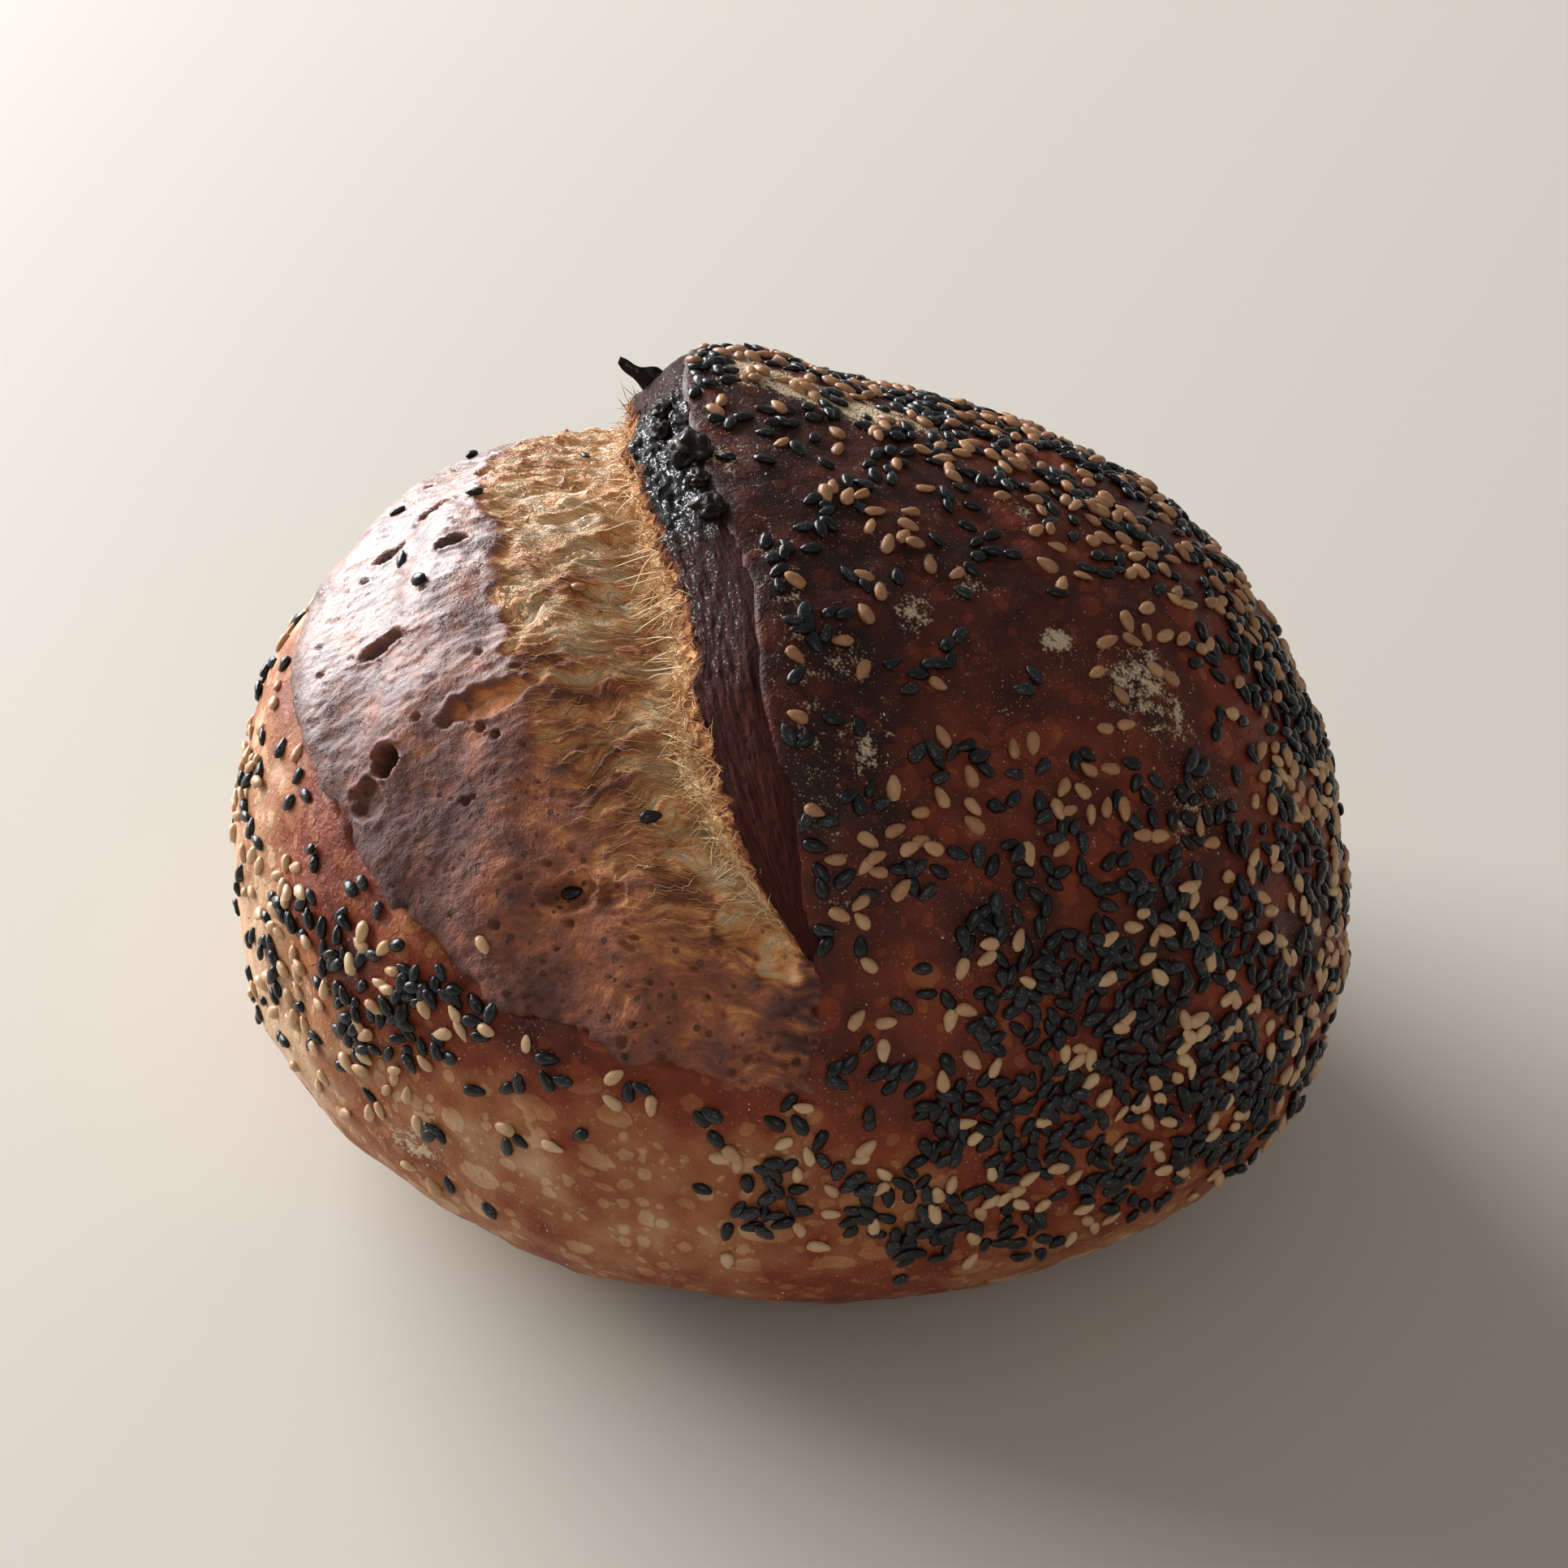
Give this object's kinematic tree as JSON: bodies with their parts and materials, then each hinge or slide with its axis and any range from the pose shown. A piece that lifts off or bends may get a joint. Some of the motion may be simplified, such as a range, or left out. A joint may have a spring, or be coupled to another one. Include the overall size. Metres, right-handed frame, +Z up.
{
  "type": "sourdough loaf",
  "caption": "Round sourdough loaf with one long score opened into a raised ear, crusted with black and pale sesame.",
  "frame": {"origin": "middle of the flat base that the loaf rests on", "axes": "+X across the loaf, the long way; +Y from the front to the back, along the score; +Z up"},
  "size_m": [0.1748, 0.1587, 0.1169],
  "materials": {
    "crust": "baked crust, dark brown, satin"
  },
  "bodies": {
    "root": {"loaf": "crust"}
  },
  "joints": []
}
